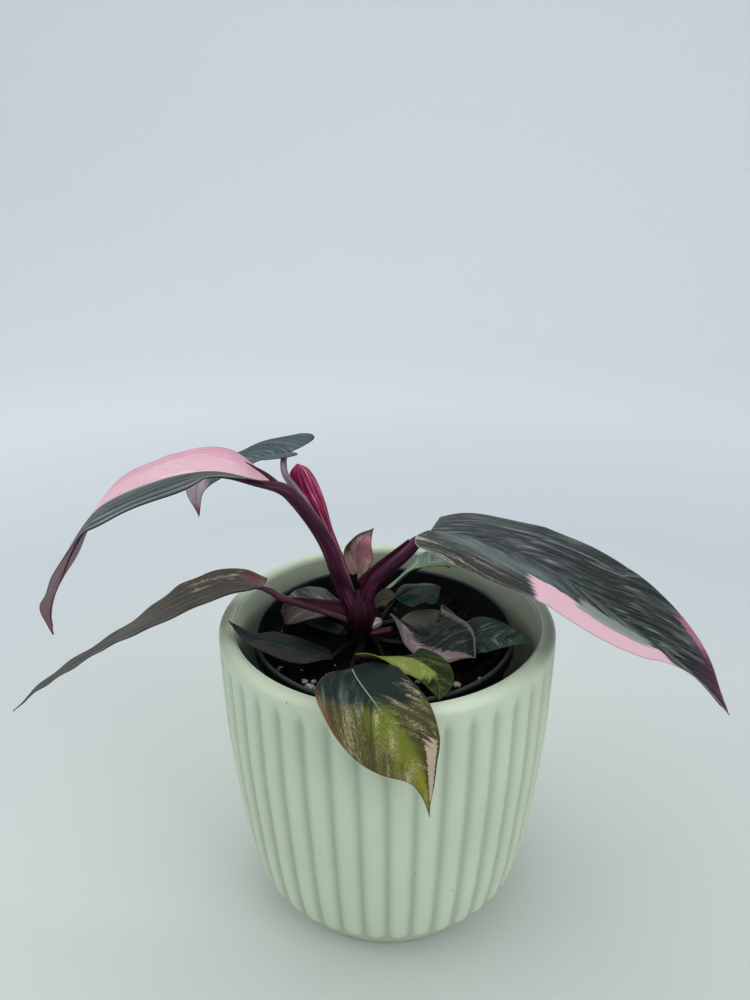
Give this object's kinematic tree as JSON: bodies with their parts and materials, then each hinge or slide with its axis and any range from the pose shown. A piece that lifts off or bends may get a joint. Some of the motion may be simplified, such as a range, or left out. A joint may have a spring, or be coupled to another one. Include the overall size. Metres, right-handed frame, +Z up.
{
  "type": "potted philodendron",
  "caption": "Small variegated pink and green philodendron in a black nursery pot, standing in a pale mint ribbed ceramic cover pot, with arching stalks and drooping lance-shaped leaves",
  "frame": {"origin": "Centre of the cover pot's flat base, on the surface that it stands on", "axes": "+Z up. +X to the right and +Y away from the side that the front leaf hangs over, so the two long leaves spread along X, the largest one toward +X"},
  "size_m": [0.2948, 0.1591, 0.2029],
  "materials": {
    "glazed_mint": "satin",
    "black_plastic": "satin",
    "potting_soil": "matte",
    "stem_tissue": "matte",
    "crimson_bud": "satin",
    "green_leaf": "satin",
    "pink_green_leaf": "satin",
    "cream_leaf": "satin"
  },
  "bodies": {
    "root": {"cover_pot": "glazed_mint", "nursery_pot": "black_plastic", "soil": "potting_soil", "stem": "stem_tissue", "bud_sheath": "crimson_bud", "leaf_upper_left": "pink_green_leaf", "leaf_large_right": "pink_green_leaf", "leaf_lower_left": "pink_green_leaf", "leaf_small_back": "green_leaf", "leaf_crumpled": "cream_leaf", "leaf_front": "green_leaf", "leaf_front_small": "green_leaf", "leaf_right_cupped": "green_leaf", "leaf_right_under": "green_leaf", "leaf_back_right": "green_leaf", "leaf_back_tall": "green_leaf", "leaf_left_streaked": "green_leaf", "leaf_left_back": "green_leaf", "leaf_sprout": "green_leaf"}
  },
  "joints": []
}
